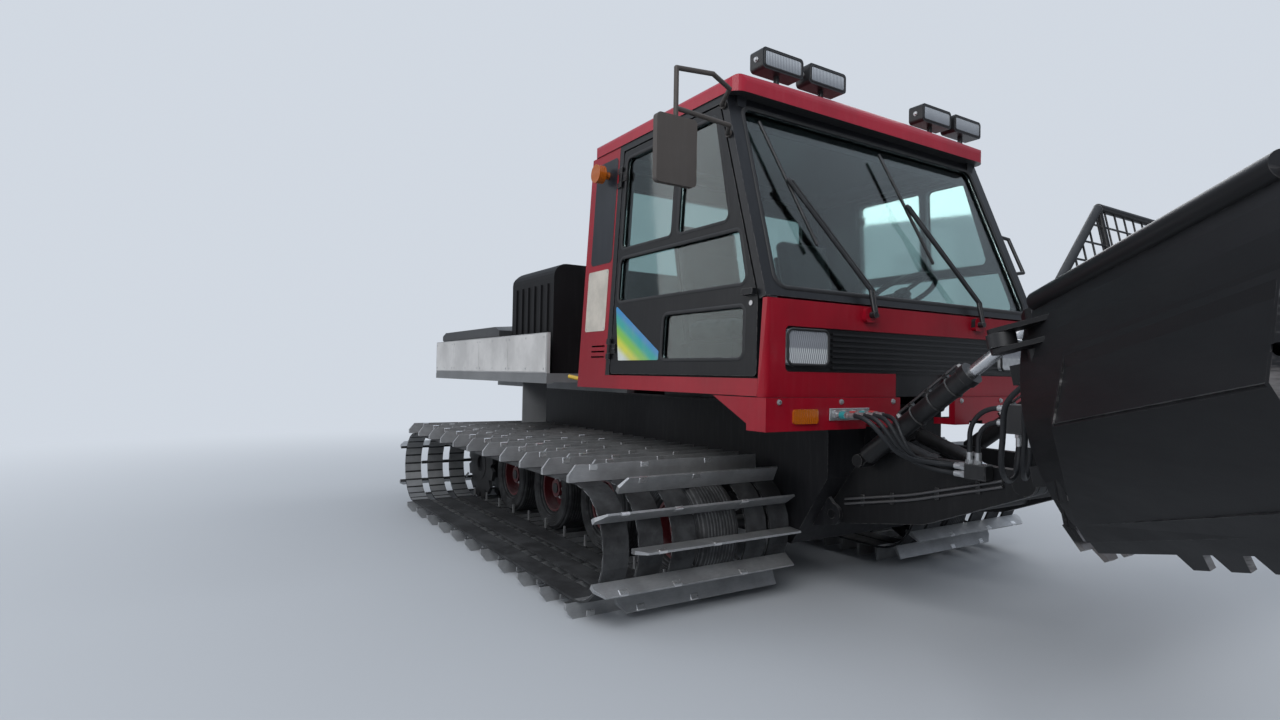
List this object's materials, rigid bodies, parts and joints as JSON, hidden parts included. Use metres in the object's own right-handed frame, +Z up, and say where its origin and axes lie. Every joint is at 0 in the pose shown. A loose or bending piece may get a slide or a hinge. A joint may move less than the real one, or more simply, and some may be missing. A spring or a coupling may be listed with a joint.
{
  "type": "snow groomer",
  "caption": "Tracked snow groomer with a two-seat cab, a load deck with a tool chest, and a lifted front blade with two folding wings.",
  "frame": {"origin": "centre of the bounding box, at the ground", "axes": "+X to the front, +Y to the machine's left, +Z up"},
  "size_m": [6.1414, 3.109, 2.602],
  "materials": {
    "black_paint": "satin",
    "black_plastic": "matte",
    "blade_paint": "satin",
    "board": "satin",
    "chrome": "polished",
    "cylinder_paint": "satin",
    "engine_iron": "matte",
    "glass": "gloss",
    "grey_paint": "satin",
    "hull_paint": "satin",
    "lamp": "gloss",
    "red_paint": "gloss",
    "rim_paint": "satin",
    "roof_shell": "gloss",
    "seat_cloth": "woven",
    "steel": "satin",
    "track": "satin",
    "tyre": "matte"
  },
  "bodies": {
    "machine": {"hull": "hull_paint", "engine": "engine_iron", "axles": "black_paint", "rims": "rim_paint", "tyres": "tyre", "sprockets": "steel", "track_left": "track", "track_right": "track", "deck": "grey_paint", "deck_boards": "board", "engine_housing": "black_paint", "tool_chest": "grey_paint", "cab_floor": "black_paint", "cab_frame": "black_paint", "roof": "roof_shell", "nose_panel": "red_paint", "grille_band": "black_plastic", "front_lamps": "lamp", "bumper": "red_paint", "side_panels": "red_paint", "rear_wall": "red_paint", "cab_glass": "glass", "dashboard": "black_plastic", "seat_pads": "seat_cloth", "work_lamps": "black_plastic", "side_mirror": "black_plastic", "grab_handle": "black_paint", "wipers": "black_paint"},
    "chest_lid": {"chest_lid": "grey_paint"},
    "door_left": {"door_left": "black_paint", "door_glass_left": "glass"},
    "door_right": {"door_right": "black_paint", "door_glass_right": "glass"},
    "steering_wheel": {"steering_wheel": "black_plastic"},
    "lift_frame": {"lift_frame": "blade_paint"},
    "lift_barrels": {"lift_barrels": "cylinder_paint"},
    "lift_rods": {"lift_rods": "chrome"},
    "tilt_head": {"tilt_head": "blade_paint"},
    "pitch_barrels": {"pitch_barrels": "cylinder_paint"},
    "pitch_rods": {"pitch_rods": "chrome"},
    "blade": {"blade": "blade_paint", "overfill_guard": "blade_paint"},
    "swing_barrel": {"swing_barrel": "cylinder_paint"},
    "swing_rod": {"swing_rod": "chrome"},
    "wing_left": {"wing_left": "blade_paint"},
    "wing_right": {"wing_right": "blade_paint"},
    "wing_barrel_left": {"wing_barrel_left": "cylinder_paint"},
    "wing_rod_left": {"wing_rod_left": "chrome"},
    "wing_barrel_right": {"wing_barrel_right": "cylinder_paint"},
    "wing_rod_right": {"wing_rod_right": "chrome"}
  },
  "joints": [
    {"name": "door_right_hinge", "type": "hinge", "parent": "machine", "child": "door_right", "pos_m": [0.01094, -0.99975, 1.68], "axis": [0, -0.0583, -0.9983], "range_deg": [0, 80]},
    {"name": "door_left_hinge", "type": "hinge", "parent": "machine", "child": "door_left", "pos_m": [0.01094, 0.99975, 1.68], "axis": [0, -0.0583, 0.9983], "range_deg": [0, 80]},
    {"name": "chest_lid_hinge", "type": "hinge", "parent": "machine", "child": "chest_lid", "pos_m": [-1.59706, 0, 1.337], "axis": [0, 1, 0], "range_deg": [0, 75]},
    {"name": "steering_turn", "type": "hinge", "parent": "machine", "child": "steering_wheel", "pos_m": [0.81094, 0.38, 1.545], "axis": [-0.4695, 0, 0.8829], "range_deg": [-450, 450]},
    {"name": "lift", "type": "hinge", "parent": "machine", "child": "lift_frame", "pos_m": [0.98094, 0, 0.42], "axis": [0, -1, 0], "range_deg": [-24, 3]},
    {"name": "tilt", "type": "hinge", "parent": "lift_frame", "child": "tilt_head", "pos_m": [1.90094, 0, 0.69], "axis": [0, -1, 0], "range_deg": [-12, 12]},
    {"name": "swing", "type": "hinge", "parent": "tilt_head", "child": "blade", "pos_m": [2.02094, 0, 0.985], "axis": [0, 0, 1], "range_deg": [-20, 20]},
    {"name": "wing_right_fold", "type": "hinge", "parent": "blade", "child": "wing_right", "pos_m": [2.29289, -0.9, 0.96291], "axis": [-0.2062, 0, 0.9785], "range_deg": [-54, 21]},
    {"name": "wing_left_fold", "type": "hinge", "parent": "blade", "child": "wing_left", "pos_m": [2.29289, 0.9, 0.96291], "axis": [0.2062, 0, -0.9785], "range_deg": [-54, 21]},
    {"name": "lift_barrel_turn", "type": "hinge", "parent": "machine", "child": "lift_barrels", "pos_m": [1.08094, 0, 0.8], "axis": [0, -1, 0], "range_deg": [-21.03, 3.15]},
    {"name": "lift_rod_slide", "type": "slide", "parent": "lift_barrels", "child": "lift_rods", "axis": [0.9466, 0, -0.3223], "range_m": [-0.024, 0.164]},
    {"name": "tilt_barrel_turn", "type": "hinge", "parent": "lift_frame", "child": "pitch_barrels", "pos_m": [1.19094, 0, 0.7], "axis": [0, -1, 0], "range_deg": [-5.72, 5.72]},
    {"name": "tilt_rod_slide", "type": "slide", "parent": "pitch_barrels", "child": "pitch_rods", "axis": [0.7957, 0, 0.6057], "range_m": [-0.0956, 0.0956]},
    {"name": "swing_barrel_turn", "type": "hinge", "parent": "tilt_head", "child": "swing_barrel", "pos_m": [1.64694, 0.28, 0.88], "axis": [0, 0, 1], "range_deg": [-1.23, 1.23]},
    {"name": "swing_rod_slide", "type": "slide", "parent": "swing_barrel", "child": "swing_rod", "axis": [0.9707, -0.2403, 0], "range_m": [-0.0661, 0.0661]},
    {"name": "wing_right_barrel_turn", "type": "hinge", "parent": "blade", "child": "wing_barrel_right", "pos_m": [2.09663, -0.45, 1.16682], "axis": [-0.2062, 0, 0.9785], "range_deg": [-5.72, 2.59]},
    {"name": "wing_right_rod_slide", "type": "slide", "parent": "wing_barrel_right", "child": "wing_rod_right", "axis": [0.1593, -0.9867, 0.0336], "range_m": [-0.087, 0.0363]},
    {"name": "wing_left_barrel_turn", "type": "hinge", "parent": "blade", "child": "wing_barrel_left", "pos_m": [2.09663, 0.45, 1.16682], "axis": [0.2062, 0, -0.9785], "range_deg": [-5.72, 2.59]},
    {"name": "wing_left_rod_slide", "type": "slide", "parent": "wing_barrel_left", "child": "wing_rod_left", "axis": [0.1593, 0.9867, 0.0336], "range_m": [-0.087, 0.0363]}
  ],
  "couplings": [
    {"joint": "lift_barrel_turn", "follows": "lift", "ratio": 0.8514},
    {"joint": "lift_rod_slide", "follows": "lift", "m_per_rad": -0.38199},
    {"joint": "tilt_barrel_turn", "follows": "tilt", "ratio": 0.4265},
    {"joint": "tilt_rod_slide", "follows": "tilt", "m_per_rad": -0.43738},
    {"joint": "swing_barrel_turn", "follows": "swing", "ratio": -0.0316},
    {"joint": "swing_rod_slide", "follows": "swing", "m_per_rad": -0.17798},
    {"joint": "wing_right_barrel_turn", "follows": "wing_right_fold", "ratio": 0.0948},
    {"joint": "wing_right_rod_slide", "follows": "wing_right_fold", "m_per_rad": 0.08803},
    {"joint": "wing_left_barrel_turn", "follows": "wing_left_fold", "ratio": 0.0948},
    {"joint": "wing_left_rod_slide", "follows": "wing_left_fold", "m_per_rad": 0.08803}
  ]
}
